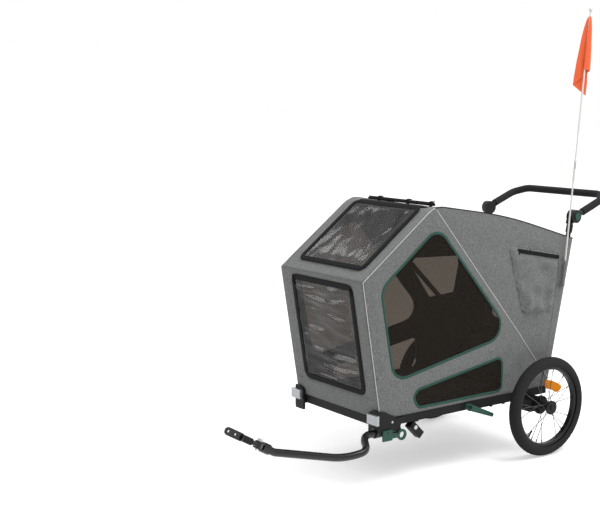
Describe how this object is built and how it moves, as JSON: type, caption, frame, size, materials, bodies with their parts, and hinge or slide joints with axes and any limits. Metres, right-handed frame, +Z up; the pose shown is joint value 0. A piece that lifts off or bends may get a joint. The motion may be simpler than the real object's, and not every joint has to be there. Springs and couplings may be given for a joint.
{
  "type": "dog bike trailer",
  "caption": "Two-wheeled bicycle trailer with a folding fabric cabin for a dog, a side tow arm with hitch, a tilting push handle and a safety flag.",
  "frame": {"origin": "on the ground, under the middle of the trailer's overall box", "axes": "+Z up, -Y forward towards the bicycle, +X to the trailer's left"},
  "size_m": [0.732, 1.9262, 1.7695],
  "materials": {
    "tyre_rubber": "matt",
    "rim_black": "satin",
    "spoke_steel": "bright",
    "hub_plastic": "moulded",
    "amber_reflector": "prismatic",
    "button_plastic": "moulded",
    "frame_tube": "powder coated",
    "floor_board": "textured",
    "mat_fabric": "quilted",
    "axle_steel": "zinc plated",
    "black_moulding": "moulded",
    "clear_reflector": "prismatic",
    "tow_black": "gloss",
    "hitch_steel": "zinc plated",
    "black_rubber": "matt",
    "green_plastic": "moulded",
    "grey_fabric": "melange weave",
    "dark_mesh": "net",
    "clear_vinyl": "clear sheet",
    "handle_black": "powder coated",
    "grip_foam": "foam",
    "pole_white": "smooth",
    "flag_orange": "thin cloth",
    "zip_black": "moulded"
  },
  "bodies": {
    "base": {"side_rails": "frame_tube", "floor_crossbars": "frame_tube", "floor_panel": "floor_board", "floor_mat": "mat_fabric", "axle_tube": "axle_steel", "axle_housings": "black_moulding", "stub_axles": "axle_steel", "corner_brackets": "black_moulding", "front_reflectors": "clear_reflector", "tow_receiver": "tow_black", "stroller_sockets": "black_moulding", "brake_bracket": "black_moulding", "brake_cable": "black_rubber", "frame_hinges": "tow_black", "side_wall_left": "grey_fabric", "side_wall_right": "grey_fabric", "window_meshes": "dark_mesh", "roof_front_panel": "grey_fabric", "roof_rear_panel": "grey_fabric", "fabric_skirts": "grey_fabric", "wall_pockets": "grey_fabric"},
    "front_frame": {"front_hoop": "frame_tube", "front_panel": "grey_fabric"},
    "front_flap": {"front_cover": "clear_vinyl"},
    "roof_flap": {"roof_cover": "clear_vinyl"},
    "ridge_frame": {"ridge_hoop": "frame_tube"},
    "rear_frame": {"rear_hoop": "frame_tube", "rear_panel": "grey_fabric", "handle_knuckles": "black_moulding"},
    "rear_flap": {"rear_door": "grey_fabric"},
    "push_handle": {"handle_tube": "handle_black", "handle_grip": "grip_foam"},
    "tow_bar": {"tow_arm": "tow_black", "tow_yoke": "tow_black"},
    "hitch_head": {"hitch_plate": "tow_black", "hitch_rubber": "black_rubber"},
    "hitch_lock": {"hitch_pin": "hitch_steel"},
    "tow_release": {"tow_lever": "green_plastic"},
    "brake_pedal": {"brake_lever": "green_plastic"},
    "safety_flag": {"flag_pole": "pole_white", "flag_cloth": "flag_orange"},
    "pocket_zip": {"zip_slider": "zip_black"},
    "left_wheel": {"tyre_left": "tyre_rubber", "rim_left": "rim_black", "spokes_left": "spoke_steel", "hub_left": "hub_plastic", "wheel_reflector_left": "amber_reflector"},
    "left_wheel_release": {"wheel_button_left": "button_plastic"},
    "left_handle_release": {"handle_button_left": "green_plastic"},
    "left_brake_pin": {"lock_pin_left": "axle_steel"},
    "left_socket_lock": {"socket_pin_left": "axle_steel"},
    "right_wheel": {"tyre_right": "tyre_rubber", "rim_right": "rim_black", "spokes_right": "spoke_steel", "hub_right": "hub_plastic", "wheel_reflector_right": "amber_reflector"},
    "right_wheel_release": {"wheel_button_right": "button_plastic"},
    "right_handle_release": {"handle_button_right": "green_plastic"},
    "right_brake_pin": {"lock_pin_right": "axle_steel"},
    "right_socket_lock": {"socket_pin_right": "axle_steel"}
  },
  "joints": [
    {"name": "left_wheel_spin", "type": "hinge", "parent": "base", "child": "left_wheel", "pos_m": [0.331, 0.51891, 0.2], "axis": [1, 0, 0], "continuous": true},
    {"name": "left_wheel_button_press", "type": "slide", "parent": "left_wheel", "child": "left_wheel_release", "axis": [-1, 0, 0], "range_m": [0, 0.003], "stiffness_N_per_m": 400},
    {"name": "right_wheel_spin", "type": "hinge", "parent": "base", "child": "right_wheel", "pos_m": [-0.331, 0.51891, 0.2], "axis": [1, 0, 0], "continuous": true},
    {"name": "right_wheel_button_press", "type": "slide", "parent": "right_wheel", "child": "right_wheel_release", "axis": [1, 0, 0], "range_m": [0, 0.003], "stiffness_N_per_m": 400},
    {"name": "main_fold", "type": "hinge", "parent": "base", "child": "rear_frame", "pos_m": [0, 0.62069, 0.39964], "axis": [1, 0, 0], "range_deg": [0, 95], "deforming": ["side_wall_left", "side_wall_right", "window_meshes", "roof_front_panel", "roof_rear_panel", "wall_pockets"]},
    {"name": "ridge_fold", "type": "hinge", "parent": "base", "child": "ridge_frame", "pos_m": [0, 0.62069, 0.39964], "axis": [1, 0, 0], "range_deg": [0, 46.76]},
    {"name": "front_fold", "type": "hinge", "parent": "base", "child": "front_frame", "pos_m": [0, -0.26932, 0.3046], "axis": [-1, 0, 0], "range_deg": [0, 99.52]},
    {"name": "front_cover_open", "type": "hinge", "parent": "front_frame", "child": "front_flap", "pos_m": [0, -0.36142, 0.75456], "axis": [1, 0, 0], "range_deg": [-100, 0]},
    {"name": "roof_cover_open", "type": "hinge", "parent": "base", "child": "roof_flap", "pos_m": [0, -0.03511, 1.02002], "axis": [1, 0, 0], "range_deg": [-110, 0]},
    {"name": "rear_door_open", "type": "hinge", "parent": "rear_frame", "child": "rear_flap", "pos_m": [0, 0.72648, 0.81325], "axis": [-1, 0, 0], "range_deg": [-80, 0]},
    {"name": "handle_tilt", "type": "hinge", "parent": "rear_frame", "child": "push_handle", "pos_m": [0, 0.74691, 0.94], "axis": [-1, 0, 0], "range_deg": [-120, 80]},
    {"name": "left_handle_button_press", "type": "slide", "parent": "push_handle", "child": "left_handle_release", "axis": [-1, 0, 0], "range_m": [0, 0.004], "stiffness_N_per_m": 500},
    {"name": "right_handle_button_press", "type": "slide", "parent": "push_handle", "child": "right_handle_release", "axis": [1, 0, 0], "range_m": [0, 0.004], "stiffness_N_per_m": 500},
    {"name": "tow_arm_pull", "type": "slide", "parent": "base", "child": "tow_bar", "axis": [0, -1, 0], "range_m": [0, 0.1]},
    {"name": "tow_release_pull", "type": "hinge", "parent": "base", "child": "tow_release", "pos_m": [0, -0.24709, 0.2057], "axis": [-1, 0, 0], "range_deg": [0, 20], "stiffness_Nm_per_rad": 0.6},
    {"name": "hitch_swivel", "type": "hinge", "parent": "tow_bar", "child": "hitch_head", "pos_m": [0.285, -0.83309, 0.272], "axis": [0, 0.5, 0.866], "range_deg": [-70, 70]},
    {"name": "hitch_pin_lift", "type": "slide", "parent": "tow_bar", "child": "hitch_lock", "axis": [0, 0.5, 0.866], "range_m": [0, 0.035]},
    {"name": "brake_press", "type": "hinge", "parent": "base", "child": "brake_pedal", "pos_m": [0, 0.16091, 0.238], "axis": [-1, 0, 0], "range_deg": [0, 25]},
    {"name": "left_brake_pin_slide", "type": "slide", "parent": "base", "child": "left_brake_pin", "axis": [1, 0, 0], "range_m": [0, 0.008]},
    {"name": "left_socket_pin_pull", "type": "slide", "parent": "base", "child": "left_socket_lock", "axis": [1, 0, 0], "range_m": [0, 0.01], "stiffness_N_per_m": 300},
    {"name": "right_brake_pin_slide", "type": "slide", "parent": "base", "child": "right_brake_pin", "axis": [-1, 0, 0], "range_m": [0, 0.008]},
    {"name": "right_socket_pin_pull", "type": "slide", "parent": "base", "child": "right_socket_lock", "axis": [-1, 0, 0], "range_m": [0, 0.01], "stiffness_N_per_m": 300},
    {"name": "flag_lift", "type": "slide", "parent": "rear_frame", "child": "safety_flag", "axis": [0, 0.1011, 0.9949], "range_m": [0, 0.1]},
    {"name": "zip_slide", "type": "slide", "parent": "base", "child": "pocket_zip", "axis": [0, 0.9821, -0.1884], "range_m": [0, 0.2]}
  ],
  "couplings": [
    {"joint": "ridge_fold", "follows": "main_fold", "ratio": 0.49225},
    {"joint": "left_brake_pin_slide", "follows": "brake_press", "m_per_rad": 0.018334},
    {"joint": "right_brake_pin_slide", "follows": "brake_press", "m_per_rad": 0.018334}
  ]
}
